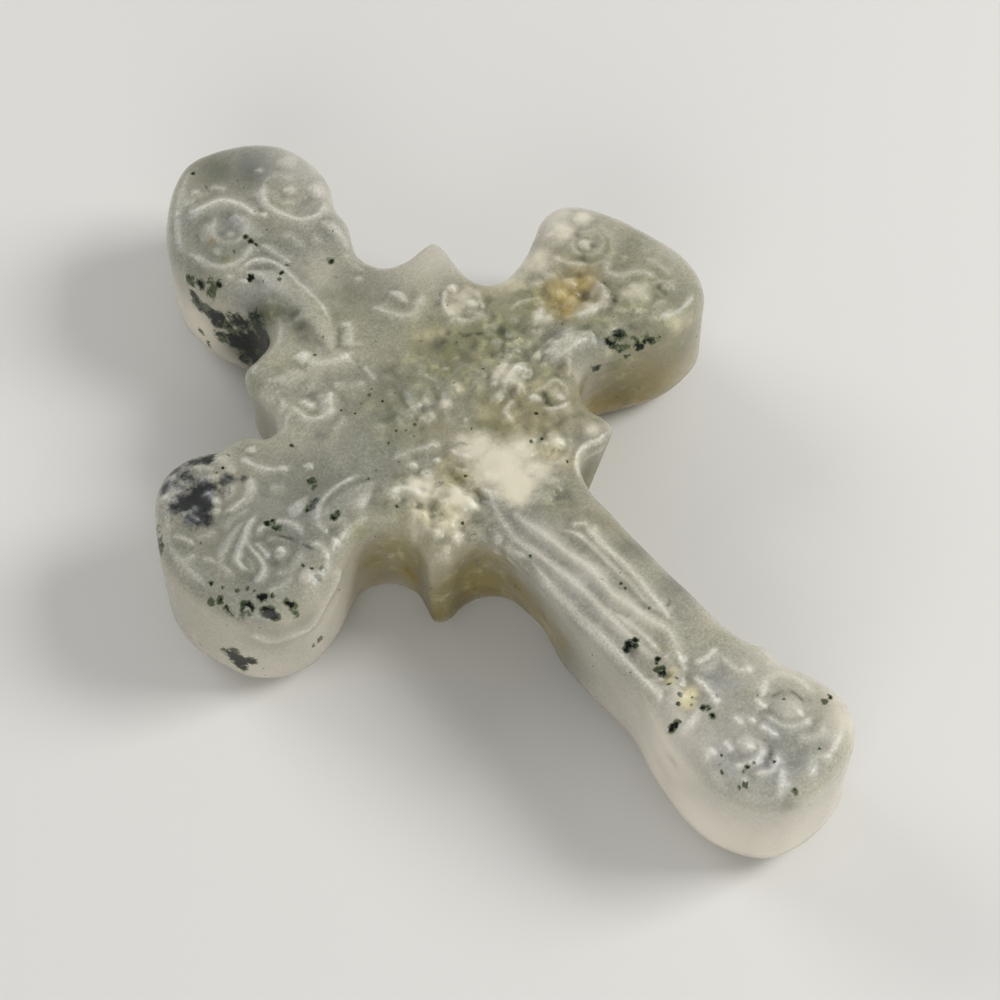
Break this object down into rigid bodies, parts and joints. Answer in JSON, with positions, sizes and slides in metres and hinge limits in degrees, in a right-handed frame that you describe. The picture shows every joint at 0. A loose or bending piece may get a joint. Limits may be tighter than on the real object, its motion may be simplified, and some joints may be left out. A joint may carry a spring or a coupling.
{
  "type": "carved stone cross",
  "caption": "Small budded cross carved from one piece of milky moss agate, with a flat back, rounded walls and a face of raised scrolls, leaves and round bosses.",
  "frame": {"origin": "on the flat back, under the middle of the cross", "axes": "+Y along the long limb towards the upper limb, +X across the arms, +Z out of the carved face"},
  "size_m": [0.0462, 0.07, 0.0116],
  "materials": {
    "milky_agate": "satin polished, milky and slightly see-through, with dark green moss-like inclusions"
  },
  "bodies": {
    "root": {"stone_cross": "milky_agate"}
  },
  "joints": []
}
